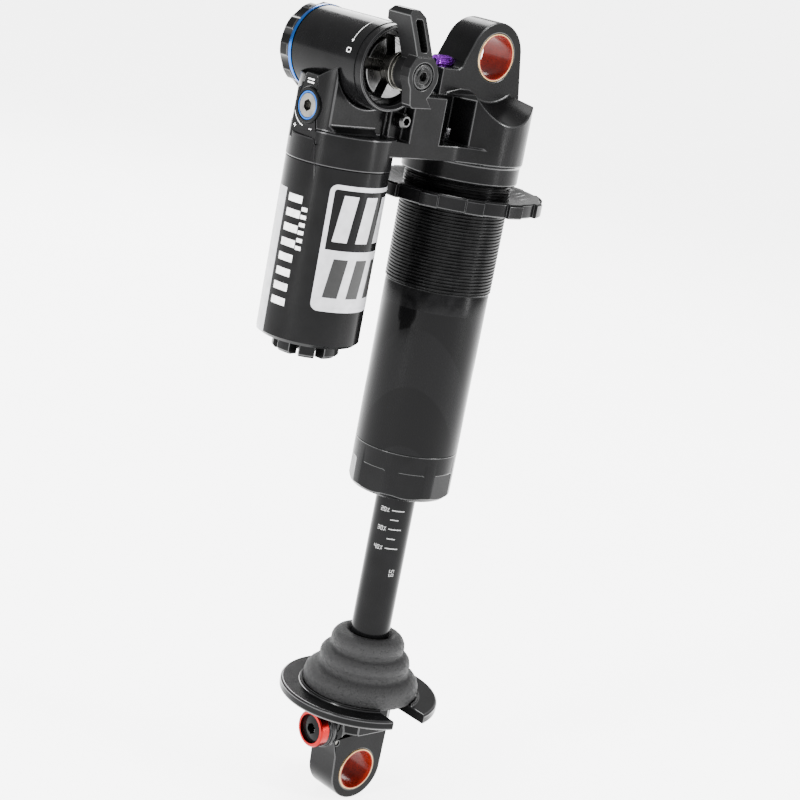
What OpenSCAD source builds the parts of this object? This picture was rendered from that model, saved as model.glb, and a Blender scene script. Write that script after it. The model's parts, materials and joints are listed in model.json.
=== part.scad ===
// Coil-over rear shock for a bicycle, shown without its coil spring.
// Row frame: origin in the middle of the upper eye, +Z up along the damper,
// Y along the eye bores, reservoir on the -X side.

/* [Length] */
// Distance between the eye centres, fully extended
eye_to_eye = 230; // [228:0.5:236]
// Diameter of the eye bores, for the pivot hardware
eye_bore = 12.7; // [12:0.1:13]
// Width of each eye across its flat faces
eye_width = 12.2; // [11.6:0.1:12.4]

/* [Damper body] */
// Outer diameter of the threaded tube
thread_d = 32.5; // [32.2:0.1:32.8]
// Pitch of the preload thread
thread_pitch = 1; // [0.8:0.1:1.2]
// Diameter of the smooth lower body
body_d = 31.92; // [31.8:0.02:32]
// Bore of the damper tube
tube_bore = 26; // [25.6:0.1:26.4]
// Diameter of the damper shaft
shaft_d = 12.5; // [12.4:0.1:12.6]

/* [Reservoir] */
// Distance from the damper axis to the reservoir axis
reservoir_offset = 48.15; // [47.6:0.05:49]
// Outer diameter of the reservoir tube
reservoir_d = 29.92; // [29.8:0.02:30.2]
// Bore of the reservoir tube
reservoir_bore = 26.4; // [26:0.1:26.8]
// Length of the reservoir tube
reservoir_len = 51.2; // [49:0.2:53]

/* [Compression unit] */
// Diameter of the cross barrel on top of the reservoir
barrel_d = 24.4; // [24.2:0.1:24.6]
// Height of the barrel axis below the upper eye
barrel_drop = 4.98; // [4.8:0.02:5.2]

/* [Spring seats] */
// Diameter over the tabs of the preload collar
collar_d = 53.2; // [52.6:0.2:54]
// Number of tabs round the collar
collar_tabs = 12; // [10:1:14]
// Diameter of the lower spring seat
seat_d = 50.9; // [50.5:0.1:51.5]
// Width of the slot that lets the seat off the shaft
seat_slot = 12.8; // [12.6:0.1:13]

/* [Hidden] */
$fn = 96;
e = 0.01;                       // cutters pass this far beyond the faces they cut
run = 0.05;                     // radial clearance of running fits

// Levels down the damper axis
zl = -eye_to_eye;               // lower eye
head_z = -36.2;                 // underside of the head
tube_top_z = -26;               // tube end inside the head
thread_end_z = -70;
wrap_z = [-120.4, -76.1];       // printed film round the lower body
flats_z = -126.5;               // top of the wrench flats
body_end_z = -135.2;
bridge_z = [-30, -25.5];        // solid lower part of the bridge to the reservoir
skirt_z = [-34.4, -25];         // reservoir head, outer skirt

// Levels that go with the lower eye
seat_top_z = zl + 26.5;
seat_t = 3.2;
bump_top_z = zl + 46;
knob_z = zl + 14.5;

thread_r = thread_d / 2;
body_r = body_d / 2;
bore_r = tube_bore / 2;
shaft_r = shaft_d / 2;
res_x = -reservoir_offset;
res_r = reservoir_d / 2;
res_bore_r = reservoir_bore / 2;
res_end_z = skirt_z[0] - reservoir_len;
barrel_r = barrel_d / 2;
barrel_z = -barrel_drop;
bush_r = eye_bore / 2 + 0.75;   // outside of the bush shell
eye_r = 10.2;                   // outside of the upper eye
half_w = eye_width / 2;

// Front and back ends of the parts stacked along the barrel, on Y
barrel_y = [-13.4, 14];
bezel_y = [-16.4, barrel_y[0]];
lever_y = [-28, -21];
blue_y = [14.05, 15.2];
dial_y = [15.2, 20];

hsc_z = -19.3;                  // axis of the high-speed adjuster
oil_z = -22.9;                  // drilling from the damper across the bridge
oil_y = -1.5;
riser_x = -40;
return_y = 8;                   // way back to the reservoir
bleed = [-37.5, -19.7];         // x and z of the bleed screw
bleed_seat_y = -9.8;
wall_y = -8;                    // front of the wall under the barrel
recess_x = -23.5;               // left side of the recesses in the bridge
hsc_face_x = res_x - 14.15;
hbo_z = -3.6;                   // axis of the bottom-out dial, above its shelf
hbo_x = [-18.6, -12.8];         // ends of the dial
hbo_needle_x = -11.4;
hbo_r = 2.1;                    // radius of the dial
shelf_z = -4.5;

// Points of an arc, for outlines
function arc(c, r, a0, a1, n) =
    [for (i = [0:n]) c + r * [cos(a0 + (a1 - a0) * i / n), sin(a0 + (a1 - a0) * i / n)]];

module along_y(y = 0) { translate([0, y, 0]) rotate([-90, 0, 0]) children(); }
module along_x(x = 0) { translate([x, 0, 0]) rotate([0, 90, 0]) children(); }

// Solid turned about Z from an outline of [radius, z] points
module turned(points) { rotate_extrude() polygon(points); }

// Ring about Z between two radii and two levels, with chamfers c on its outer edges
module ring(ro, ri, z0, z1, c = 0) {
    difference() {
        turned([[0, z0], [ro - c, z0], [ro, z0 + c], [ro, z1 - c], [ro - c, z1], [0, z1]]);
        translate([0, 0, z0 - 1]) cylinder(r = ri, h = z1 - z0 + 2);
    }
}

module rod(r, z0, z1) { translate([0, 0, z0]) cylinder(r = r, h = z1 - z0); }

// Flat outline in the XZ plane made into a plate between two Y values
module plate_y(points, y0, y1) {
    translate([0, y1, 0]) rotate([90, 0, 0]) linear_extrude(y1 - y0) polygon(points);
}

module on_barrel() { translate([res_x, 0, barrel_z]) children(); }
module on_reservoir() { translate([res_x, 0, 0]) children(); }
module on_hsc() { translate([0, 0, hsc_z]) children(); }

// ---------------------------------------------------------------- head

// Upper eye, its slanted cheeks and the shelf that runs to the left
module eye_plate() {
    outline = concat(
        arc([0, 0], eye_r, 8, 160, 24),
        [[-12.2, -2.1]],
        arc([-14.9, -1.7], 2.8, -15, -85, 5),
        [[-20.2, shelf_z], [-20.2, -12.2], [-12, -12.2], [-12, -24], [13.4, -24], [12.9, -12]]);
    plate_y(outline, -half_w, half_w);
}

// Cylinder of the head below the eye, with its roof sloping off on the right
module head_barrel() {
    intersection() {
        turned([[0, head_z], [17.2, head_z], [17.6, head_z + 0.4], [17.6, -30.6],
                [18.1, -30], [18, -5], [0, -5]]);
        plate_y([[-20, head_z - 1], [20, head_z - 1], [20, -17], [18.4, -16.2], [8, -10.2],
                 [-12, -10.2], [-20, -12.2]], -20, 20);
    }
}

// Hollow round the eye that clears the frame's mounting ears
module ear_scoop() {
    for (side = [-1, 1]) scale([1, side, 1]) mirror([0, 1, 0])
        along_y(half_w) cylinder(r1 = 13.2, r2 = 18.4, h = 13);
}

// Bridge from the damper to the reservoir: a full-depth floor that flares into the
// head, a block beside the reservoir and a thin web between the block and the head
module bridge() {
    half = [[res_x, 13.6], [-18, 13.6], [-15, 14.1], [-12, 15], [-9, 16.1], [-5.5, 17.1]];
    translate([0, 0, bridge_z[0]]) linear_extrude(bridge_z[1] - bridge_z[0])
        polygon(concat(half, [for (i = [len(half) - 1:-1:0]) [half[i][0], -half[i][1]]]));
    plate_y([[-34, -26], [-10, -26], [-10, -12], [-34, -12]], -4, 4);
    plate_y([[-35.3, -26], [recess_x, -26], [recess_x, -12.2], [-33, -12.2], [-35.3, -15.6]],
            -13.6, 13.6);
    plate_y([[-37, -26], [-32, -26], [-32, -15.6], [-37, -13]], -9.2, 9.2);
}

// Reservoir head: skirt, flat shoulder and the wall that carries the barrel
module reservoir_head() {
    on_reservoir() turned([[0, skirt_z[0]], [res_r + 0.1, skirt_z[0]], [res_r + 0.1, -25.3],
                           [res_r - 0.2, skirt_z[1]], [0, skirt_z[1]]]);
    intersection() {
        on_reservoir() rod(res_r - 0.3, -27, -4);
        plate_y([[-70, -27], [-30, -27], [-30, -5], [-58, -5], [-70, -5]], wall_y, 13.2);
        // top edge rises towards the front of the barrel
        translate([-70, 0, 0]) rotate([90, 0, 90]) linear_extrude(45)
            polygon([[-9, -27], [14, -27], [14, -11.2], [-1.4, -11.2], [wall_y, -6.7], [-9, -6.7]]);
    }
    // slope at the foot of the wall
    intersection() {
        on_reservoir() rod(res_r - 0.3, -27, -20);
        translate([-70, 0, 0]) rotate([90, 0, 90]) linear_extrude(26)
            polygon([[wall_y + 1, -26], [wall_y - 1.8, -26], [wall_y - 1.8, skirt_z[1]],
                     [wall_y, -23.2], [wall_y + 1, -23.2]]);
    }
    // boss of the high-speed adjuster
    translate([hsc_face_x, 0, 0]) rotate([90, 0, 90]) linear_extrude(12)
        polygon([[-5.2, -29], [-1.6, -10.6], [3.3, -10.6], [4.3, -15], [6, -15.2], [6.4, -29]]);
    // seat of the bleed screw
    translate([-40.4, bleed_seat_y, -26]) cube([6, 3, 10.2]);
    // spigot inside the reservoir tube
    on_reservoir() rod(res_bore_r, -39, skirt_z[0] + 1);
}

module head_forging() {
    color([0.13, 0.13, 0.14]) difference() {
        union() {
            difference() {
                head_barrel();
                ear_scoop();
            }
            difference() {
                eye_plate();
                // the plate ends where the head's cylinder takes over
                rod(40, -40, -16);
            }
            bridge();
            reservoir_head();
        }
        // recesses between the damper and the reservoir, front and back
        for (y = [-20, 4]) translate([recess_x, y, bridge_z[1]])
            cube([-12 - recess_x, 16, 13.3]);
        // bore for the damper tube, chamber above it
        rod(thread_r, head_z - e, tube_top_z);
        rod(bore_r, tube_top_z - e, -22);
        // eye
        along_y(-half_w - 1) cylinder(r = bush_r, h = eye_width + 2);
        // seat of the barrel
        on_barrel() along_y(-9) cylinder(r = barrel_r, h = 24);
        on_barrel() along_y(wall_y - e) cylinder(r1 = barrel_r + 0.9, r2 = barrel_r, h = 1.5);
        // flat face of the high-speed adjuster and its pocket
        translate([hsc_face_x - 3, 0, 0]) rotate([90, 0, 90]) linear_extrude(3)
            polygon([[-5.2, -27.6], [-1.4, -9], [3.6, -9], [4.6, -14.8], [6.3, -15], [6.7, -27.6]]);
        on_hsc() along_x(hsc_face_x - 3) cylinder(r = 5, h = 5);
        on_hsc() along_x(hsc_face_x) cylinder(r = 1.5 + run, h = 16.6);
        // pocket of the bleed screw
        translate([-43.3, -20, skirt_z[1]]) cube([8, 20 + bleed_seat_y, 12]);
        translate([bleed[0], bleed_seat_y, bleed[1]]) along_y(-e) cylinder(r = 1.3, h = 3.8);
        // reservoir chamber
        on_reservoir() rod(res_bore_r - 2, -39 - e, -28);
        // oil way from the damper, riser to the front chamber of the barrel
        translate([0, oil_y, oil_z]) along_x(riser_x) cylinder(r = 1.3, h = -riser_x - 12);
        translate([riser_x, oil_y, 0]) rod(1.4, oil_z, -10);
        // way from the rear chamber of the barrel down to the reservoir
        on_reservoir() translate([0, return_y, 0]) rod(1.5, -29, -14);
        // high-speed path, from the riser past the plunger to the reservoir
        on_hsc() along_x(-46) cylinder(r = 0.8, h = riser_x + 46);
        translate([-47.2, 0, 0]) rod(0.9, -29, hsc_z);
        // trough, stem bore and needle well of the bottom-out adjuster
        translate([0, 0, hbo_z]) along_x(-20.2 - e) cylinder(r = hbo_r + 0.3, h = 20.2 + hbo_x[1] + 0.1);
        translate([0, 0, hbo_z]) along_x(hbo_x[1]) cylinder(r = 1.5 + run, h = 3.5);
        translate([hbo_needle_x, 0, 0]) rod(1.2 + run, -22 - e, hbo_z);
        // O-ring groove in the spigot
        on_reservoir() difference() {
            rod(res_bore_r + 1, -37.6, -36);
            rod(res_bore_r - 1.2, -38, -35);
        }
    }
}

module eye_bush(z) {
    color([0.72, 0.6, 0.38]) translate([0, 0, z]) along_y(-half_w)
        ring(bush_r, bush_r - 0.45, 0, eye_width, 0.2);
}

module eye_liner(z) {
    color([0.6, 0.12, 0.1]) translate([0, 0, z]) along_y(-half_w)
        ring(bush_r - 0.45, eye_bore / 2, 0, eye_width);
}

module upper_bush_shell() { eye_bush(0); }
module upper_bush_liner() { eye_liner(0); }

// ---------------------------------------------------------------- damper body

// Threaded tube: the thread is drawn as ridges one pitch apart
module damper_tube() {
    ridges = floor((head_z - thread_end_z) / thread_pitch) - 1;
    depth = 0.45;
    color([0.17, 0.17, 0.18]) difference() {
        turned(concat(
            [[bore_r, wrap_z[0]], [body_r - 0.15, wrap_z[0]], [body_r - 0.15, wrap_z[1]],
             [body_r, wrap_z[1]], [body_r, thread_end_z - 0.4]],
            [for (i = [0:ridges - 1], p = [[0, 0.1], [1, 0.4], [1, 0.6], [0, 0.9]])
                [thread_r - depth * (1 - p[0]), thread_end_z + (i + p[1]) * thread_pitch]],
            [[thread_r - depth, head_z - 0.6], [thread_r, head_z], [thread_r, tube_top_z],
             [bore_r, tube_top_z]]));
    }
}

module body_wrap() {
    color([0.1, 0.1, 0.11]) ring(body_r, body_r - 0.15, wrap_z[0], wrap_z[1]);
}

// Seal head: spigot in the tube, wrench flats outside, cup for the bump stop below
module seal_head() {
    spigot_z = -113.6;
    color([0.14, 0.14, 0.15]) difference() {
        turned([[0, body_end_z], [body_r - 1.3, body_end_z], [body_r, body_end_z + 1.3],
                [body_r, wrap_z[0] - 0.25], [body_r - 0.25, wrap_z[0]], [bore_r, wrap_z[0]],
                [bore_r, spigot_z], [0, spigot_z]]);
        rod(shaft_r + 0.9, body_end_z - 1, spigot_z + 1);
        rod(13, body_end_z - e, body_end_z + 3);
        rod(9.2, body_end_z - e, body_end_z + 8);
        // lip seal seat
        rod(9.2, -125, -120);
        // eight wrench flats
        for (a = [0:45:359]) rotate([0, 0, a + 12])
            translate([15.35, -8, body_end_z - 1]) cube([4, 16, flats_z - body_end_z + 1]);
        // groove of the outer O-ring
        difference() {
            rod(bore_r + 1, -118, -116.2);
            rod(bore_r - 1.3, -119, -115);
        }
    }
}

module seal_head_oring() {
    color([0.08, 0.08, 0.08]) ring(bore_r, bore_r - 1.3, -117.9, -116.3, 0.3);
}

module shaft_bushing() {
    color([0.55, 0.4, 0.25]) ring(shaft_r + 0.9, shaft_r + run, -120, -113.8);
}

module shaft_seal() {
    color([0.1, 0.1, 0.1]) ring(9.2, shaft_r + run, -125, -120.2);
}

// Wiper with its lip just proud of the seal head's inner step
module dust_wiper() {
    z = body_end_z + 8;
    color([0.12, 0.12, 0.12]) difference() {
        turned([[0, z], [9.2, z], [9.2, z - 4.4], [7.6, z - 4.4], [7, z - 6.4], [0, z - 6.4]]);
        rod(shaft_r + run, z - 7, z + 1);
    }
}

// Cup that the bottom-out piston runs into near full travel
module bottom_out_cup() {
    color([0.6, 0.6, 0.62]) difference() {
        union() {
            rod(7.6, -34, -22);
            rod(bore_r, -26, -23.5);
        }
        rod(6, -35, -21);
        for (a = [0:90:359]) rotate([0, 0, a]) translate([10.2, 0, 0]) rod(1.4, -27, -23);
    }
}

// ---------------------------------------------------------------- preload collar

module collar_oring() {
    color([0.08, 0.08, 0.08]) ring(17.4, thread_r + run, -42.9, -41.3, 0.4);
}

// Castellated collar, dished down to the thread
module preload_collar() {
    bowl_z = -40.9;
    rim_z = -39.2;
    seat_z = -43.5;
    tab = collar_d / 2;
    color([0.12, 0.12, 0.13]) difference() {
        union() {
            turned([[0, seat_z], [tab - 1.4, seat_z], [tab - 1.1, seat_z + 0.3],
                    [tab - 1.1, rim_z - 0.4], [tab - 1.5, rim_z], [23.4, rim_z],
                    [18.6, bowl_z], [0, bowl_z]]);
            intersection() {
                turned([[0, seat_z], [tab - 0.3, seat_z], [tab, seat_z + 0.3], [tab, rim_z - 0.6],
                        [tab - 0.6, rim_z], [0, rim_z]]);
                for (i = [0:collar_tabs - 1]) rotate([0, 0, i * 360 / collar_tabs + 209.4])
                    translate([23.6, -2.7, seat_z]) cube([6, 5.4, 6]);
            }
        }
        rod(thread_r + 0.1, seat_z - 1, bowl_z + 1);
        rod(17.4, -42.95, -41.25);
    }
}

// ---------------------------------------------------------------- reservoir

module reservoir_tube() {
    color([0.12, 0.12, 0.13]) on_reservoir() difference() {
        turned([[0, res_end_z], [res_r - 1, res_end_z], [res_r, res_end_z + 1],
                [res_r, skirt_z[0] - 0.25], [res_r - 0.25, skirt_z[0]], [0, skirt_z[0]]]);
        rod(res_bore_r, res_end_z - 1, skirt_z[0] + 1);
    }
}

module reservoir_oring() {
    color([0.08, 0.08, 0.08]) on_reservoir() ring(res_bore_r, res_bore_r - 1.2, -37.5, -36.1, 0.3);
}

module floating_piston() {
    color([0.62, 0.62, 0.64]) on_reservoir() difference() {
        rod(res_bore_r - run, -52, -45);
        rod(9.5, -52 - e, -47.5);
        difference() {
            rod(res_bore_r + 1, -49.8, -47.6);
            rod(res_bore_r - 1.6, -50, -47);
        }
    }
}

module floating_piston_seal() {
    color([0.1, 0.1, 0.1]) on_reservoir()
        ring(res_bore_r - run, res_bore_r - 1.6, -49.7, -47.7, 0.3);
}

// End cap with a ring of spanner tabs round the air valve
module reservoir_cap() {
    tabs = 8;
    color([0.13, 0.13, 0.14]) on_reservoir() difference() {
        union() {
            rod(res_bore_r, res_end_z + 0.2, res_end_z + 8);
            rod(9.8, res_end_z - 1, res_end_z + 1);
            intersection() {
                turned([[0, res_end_z], [9.8, res_end_z], [9.8, res_end_z - 3.6],
                        [9, res_end_z - 4.4], [0, res_end_z - 4.4]]);
                for (i = [0:tabs - 1]) rotate([0, 0, i * 360 / tabs + 8])
                    translate([5, -2.3, res_end_z - 5]) cube([6, 4.6, 6]);
            }
        }
        rod(6.4, res_end_z - 5, res_end_z + 3);
        rod(2.7, res_end_z - 5, res_end_z + 9);
        rod(10.5, res_end_z + 5, res_end_z + 9);
    }
}

module air_valve() {
    color([0.75, 0.7, 0.55]) on_reservoir() difference() {
        union() {
            rod(2.7, res_end_z + 2.9, res_end_z + 6.5);
            rod(2.6, res_end_z - 2.6, res_end_z + 3);
        }
        rod(1.3, res_end_z - 3, res_end_z + 5);
    }
}

module air_valve_core() {
    color([0.8, 0.68, 0.35]) on_reservoir() union() {
        rod(1.3, res_end_z - 1, res_end_z + 4);
        rod(0.5, res_end_z - 2.2, res_end_z);
    }
}

module air_valve_cap() {
    color([0.1, 0.1, 0.1]) on_reservoir() difference() {
        turned([[0, res_end_z + 2.9], [4.4, res_end_z + 2.9], [4.4, res_end_z - 3],
                [3.8, res_end_z - 3.6], [0, res_end_z - 3.6]]);
        rod(2.6, res_end_z - 2.7, res_end_z + 3);
        for (a = [0:30:359]) rotate([0, 0, a]) translate([4.6, 0, 0])
            rod(0.5, res_end_z - 4, res_end_z + 2, $fn = 16);
    }
}

// ---------------------------------------------------------------- compression unit

module compression_barrel() {
    color([0.14, 0.14, 0.15]) on_barrel() difference() {
        along_y(barrel_y[0]) turned([[0, 0], [barrel_r, 0], [barrel_r, 27], [barrel_r - 0.4, 27.4],
                                     [0, 27.4]]);
        along_y(barrel_y[0] - 1) cylinder(r = 10.4, h = 7.4);
        along_y(-3) cylinder(r = 9.5, h = 14);
        along_y(-8) cylinder(r = 3 + run, h = 8);
        along_y(10) cylinder(r = 3.4 + run, h = 5);
        translate([riser_x - res_x, oil_y, -9]) rod(1.4, -6, 2);
        translate([0, return_y, -9]) rod(1.5, -6, 2);
    }
}

module barrel_bezel() {
    color([0.14, 0.14, 0.15]) on_barrel() difference() {
        along_y(bezel_y[0]) turned([[0, 0], [11.7, 0], [12, 0.3], [12, 3], [0, 3]]);
        along_y(bezel_y[0] - 1) cylinder(r = 10.4, h = 5);
        along_y(bezel_y[0] - e) cylinder(r1 = 11.3, r2 = 10.4, h = 0.8);
    }
}

// Slotted nut that holds the cartridge in the barrel
module cartridge_nut() {
    slots = 5;
    color([0.3, 0.3, 0.31]) on_barrel() difference() {
        along_y(-14.6) turned([[0, 0], [8.4, 0], [8.7, 0.3], [8.7, 5.6], [10.4, 5.6], [10.4, 7.6],
                               [0, 7.6]]);
        along_y(-15) cylinder(r = 3.9 + run, h = 9);
        for (i = [0:slots - 1]) rotate([0, -(i * 360 / slots + 176), 0])
            translate([3, -16, -1.5]) cube([8, 5, 3]);
    }
}

module compression_piston() {
    color([0.7, 0.68, 0.6]) on_barrel() difference() {
        along_y(0) cylinder(r = 9.5, h = 5);
        along_y(-1) cylinder(r = 1.4 + run, h = 7);
        for (i = [0:5]) rotate([0, i * 60, 0]) translate([6.2, 0, 0]) along_y(-1)
            cylinder(r = 1.3, h = 7, $fn = 24);
    }
}

// Stacked washers about Z, largest first
module shims(r0, step, n, t, ri, z0, dir = 1) {
    for (i = [0:n - 1]) ring(r0 - i * step, ri, z0 + dir * (i * t) - (dir < 0 ? t : 0),
                             z0 + dir * (i * t) + (dir < 0 ? 0 : t));
}

module compression_shims() {
    color([0.75, 0.75, 0.77]) on_barrel() along_y(5) shims(8.4, 1.1, 5, 0.25, 1.4 + run, 0);
}

// Low-speed dial: scalloped cap with a stem into the barrel
module lsc_dial() {
    lobes = 10;
    color([0.1, 0.1, 0.11]) on_barrel() difference() {
        union() {
            along_y(dial_y[0]) turned([[0, 0], [12.1, 0], [12.5, 0.4], [12.5, 3.6], [11.4, 4.8],
                                       [0, 4.8]]);
            along_y(10.1) cylinder(r = 3.4, h = 6);
        }
        for (i = [0:lobes - 1]) rotate([0, i * 360 / lobes + 10, 0]) translate([15.6, 0, 0])
            along_y(dial_y[0] - 1) cylinder(r = 4, h = 7, $fn = 32);
        along_y(dial_y[1] - 2.5) cylinder(d = 3 / cos(30), h = 3, $fn = 6);
    }
}

module lsc_ring() {
    color([0.25, 0.5, 0.85]) on_barrel() along_y(blue_y[0]) ring(12.45, 3.4, 0, 1.15, 0.2);
}

module lsc_needle() {
    color([0.8, 0.8, 0.82]) on_barrel() along_y(-0.6)
        turned([[0, 0], [0.5, 0], [1.4, 2], [1.4, 10.5], [0, 10.5]]);
}

// Threshold lever: arm with a deep tip, hub and a short foot
module threshold_lever() {
    lean = 25;                       // arm leans this far from upright
    arm = [[-0.8, 3.5], [-0.8, 17.7], [0.4, 18.9], [2.8, 17.8], [4.4, 15.2], [4.5, 2.5]];
    // side view of the arm: its tip reaches back over the bezel
    side = [[-28, 0], [-27.5, 20], [-20.2, 20], [-20.2, 18.9], [-18.5, 17.7], [-17.5, 15],
            [-21, 14], [-21, 0]];
    hub = [[-3.4, 5.1], [-5.2, 2], [-5.3, -0.4], [-4.9, -1.9], [-3.9, -3.4], [-2.9, -8],
           [-2.1, -8.7], [5.2, -8.5], [2.8, -5.8], [4, -4.4], [5.5, -1.2], [5.5, 0.8],
           [4.4, 3.4], [2.8, 5.2]];
    slot = [[0.7, 6.9], [1.2, 6.5], [2.6, 5.9], [3.1, 6.3], [3.1, 14.6], [2.7, 15.2],
            [1.2, 15.8], [0.7, 15.4]];
    inset = 0.25;                    // front of the arm lies this far inside the hub's
    color([0.2, 0.2, 0.21]) on_barrel() difference() {
        union() {
            intersection() {
                rotate([0, -lean, 0]) plate_y(arm, lever_y[0] + inset, -17);
                rotate([0, -lean, 0]) translate([-3, 0, 0]) rotate([90, 0, 90])
                    linear_extrude(10) polygon(side);
            }
            plate_y(hub, lever_y[0], lever_y[0] + 3.6);
            along_y(lever_y[0] + 1) cylinder(r = 4.9, h = 6);
        }
        // long slot in the face of the arm
        rotate([0, -lean, 0]) plate_y(slot, lever_y[0] - 1, lever_y[0] + 4.5);
        along_y(lever_y[0] - 1) cylinder(r = 3.75, h = 1.9);
        along_y(lever_y[0] - 1) cylinder(r = 1.5, h = 10);
    }
}

// Spindle that carries the lever into the barrel
module lever_spindle() {
    color([0.75, 0.75, 0.77]) on_barrel() difference() {
        union() {
            along_y(lever_y[1]) turned([[0, 0], [4.7, 0], [4.7, 0.5], [4.3, 0.7], [4.3, 1.1],
                                        [5.3, 1.3], [5.3, 2.4], [5, 2.7], [3.9, 2.7],
                                        [3.9, 10.8], [0, 10.8]]);
            along_y(-11) cylinder(r = 3, h = 7.6);
        }
        along_y(lever_y[1] - 1) cylinder(r = 1.25, h = 9);
    }
}

module lever_bolt() {
    color([0.25, 0.25, 0.26]) on_barrel() difference() {
        union() {
            along_y(lever_y[0]) turned([[0, 0], [3.2, 0], [3.6, 0.3], [3.6, 0.9], [0, 0.9]]);
            along_y(lever_y[0] + 0.5) cylinder(r = 1.5, h = 6.5);
            along_y(lever_y[1] - 1) cylinder(r = 1.25, h = 6);
        }
        along_y(lever_y[0] - e) difference() {
            cylinder(r = 2.7, h = 0.35);
            translate([0, 0, -1]) cylinder(r = 2.1, h = 2);
        }
        along_y(lever_y[0] - 1) cylinder(d = 2.5 / cos(30), h = 2.6, $fn = 6);
    }
}

// High-speed adjuster on the face of the reservoir head
module hsc_bezel() {
    color([0.1, 0.1, 0.1]) on_hsc() along_x(hsc_face_x - 0.7) ring(5, 4.1 + run, 0, 2.7, 0.3);
}

module hsc_adjuster() {
    color([0.75, 0.72, 0.68]) on_hsc() difference() {
        union() {
            along_x(hsc_face_x - 0.5) ring(3.5, 0, 0, 2.3, 0.2);
            along_x(hsc_face_x + 1) cylinder(r = 1.5, h = 9.8);
        }
        along_x(hsc_face_x - 1) cylinder(d = 3 / cos(30), h = 2.4, $fn = 6);
    }
}

module hsc_ring() {
    color([0.25, 0.5, 0.85]) on_hsc() along_x(hsc_face_x - 0.5) ring(4.1, 3.5, 0, 2.3, 0.15);
}

module hsc_plunger() {
    color([0.8, 0.8, 0.82]) on_hsc() along_x(hsc_face_x + 11)
        turned([[0, 0], [1.5, 0], [1.5, 2.2], [0.4, 3.4], [0, 3.4]]);
}

module bleed_screw() {
    face_y = bleed_seat_y - 3.6;
    color([0.78, 0.78, 0.8]) translate([bleed[0], 0, bleed[1]]) difference() {
        union() {
            along_y(face_y) turned([[0, 0], [1.5, 0], [2.1, 0.7], [2.1, 3.6], [0, 3.6]]);
            along_y(bleed_seat_y - 1) cylinder(r = 1.25, h = 4.6);
        }
        along_y(face_y - 1) cylinder(d = 2 / cos(30), h = 3, $fn = 6);
    }
}

// ---------------------------------------------------------------- bottom-out adjuster

module bottom_out_dial() {
    ribs = 16;
    len = hbo_x[1] - hbo_x[0];
    color([0.45, 0.12, 0.65]) translate([0, 0, hbo_z]) difference() {
        union() {
            along_x(hbo_x[0]) ring(hbo_r, 0, 0, len, 0.3);
            along_x(hbo_x[1] - e) cylinder(r = 1.5, h = 3.4);
        }
        for (i = [0:ribs - 1]) rotate([i * 360 / ribs, 0, 0])
            translate([0, hbo_r + 0.1, 0])
                along_x(hbo_x[0] + 0.8) cylinder(r = 0.26, h = len - 1.6, $fn = 16);
        along_x(hbo_x[0] - e) cylinder(d = 2 / cos(30), h = 2, $fn = 6);
    }
}

// Needle pushed down by the dial's stem
module bottom_out_needle() {
    top_z = hbo_z - 1.55;
    color([0.8, 0.8, 0.82]) translate([hbo_needle_x, 0, 0])
        turned([[0, -18.6], [0.3, -18.6], [1.2, -17], [1.2, top_z], [0, top_z]]);
}

// ---------------------------------------------------------------- shaft assembly

module damper_shaft() {
    color([0.16, 0.16, 0.17]) difference() {
        union() {
            rod(shaft_r, zl + 18, -112);
            rod(4, -112 - e, -95);
        }
        rod(2 + run, zl + 17, -100);
        rod(1.2, -101, -94);
    }
}

module topout_bumper() {
    color([0.7, 0.66, 0.3]) ring(9.5, shaft_r, -113.4, -112, 0.3);
}

module rebound_shims() {
    color([0.75, 0.75, 0.77]) shims(10.6, 1.2, 4, 0.25, 4, -111, -1);
}

module main_piston() {
    color([0.68, 0.68, 0.7]) difference() {
        turned([[0, -111], [11.6, -111], [bore_r - run, -110], [bore_r - run, -109.4],
                [bore_r - 0.8, -109.4], [bore_r - 0.8, -105.6], [bore_r - run, -105.6],
                [bore_r - run, -105], [11.6, -104], [0, -104]]);
        rod(4, -112, -103);
        for (i = [0:7]) rotate([0, 0, i * 45]) translate([i % 2 == 0 ? 9 : 6.6, 0, 0])
            rod(1.2, -112, -103, $fn = 24);
    }
}

module glide_ring() {
    color([0.35, 0.25, 0.15]) ring(bore_r - run, bore_r - 0.75, -109.35, -105.65);
}

module main_shims() {
    color([0.75, 0.75, 0.77]) shims(10.2, 1.1, 6, 0.25, 4, -104);
}

module piston_nut() {
    color([0.6, 0.6, 0.62]) difference() {
        translate([0, 0, -102.4]) cylinder(d = 10.8, h = 6.4, $fn = 6);
        rod(4, -104, -95);
    }
}

module bottom_out_piston() {
    color([0.62, 0.62, 0.65]) difference() {
        rod(6 - run, -95, -91);
        rod(1.2, -96, -90);
        for (i = [0:2]) rotate([0, 0, i * 120]) translate([3.6, 0, 0]) rod(0.8, -96, -90, $fn = 24);
    }
}

// Microcellular bump stop in three tiers
module bump_stop() {
    base = seat_top_z + 0.1;
    color([0.42, 0.42, 0.42]) difference() {
        turned([[0, base], [18.1, base], [18.4, base + 1.5], [18.4, zl + 31], [17.4, zl + 32.4],
                [15, zl + 33.4], [14.2, zl + 35.6], [14.6, zl + 37], [13.8, zl + 38.8],
                [11.8, zl + 40.2], [11.6, zl + 40.8], [12, zl + 42.2], [11, zl + 44.6],
                [8.6, bump_top_z], [0, bump_top_z]]);
        rod(shaft_r, base - 1, bump_top_z + 1);
        translate([0, 0, bump_top_z - 1.6]) cylinder(r1 = shaft_r, r2 = 7.4, h = 1.6 + e);
    }
}

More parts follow.
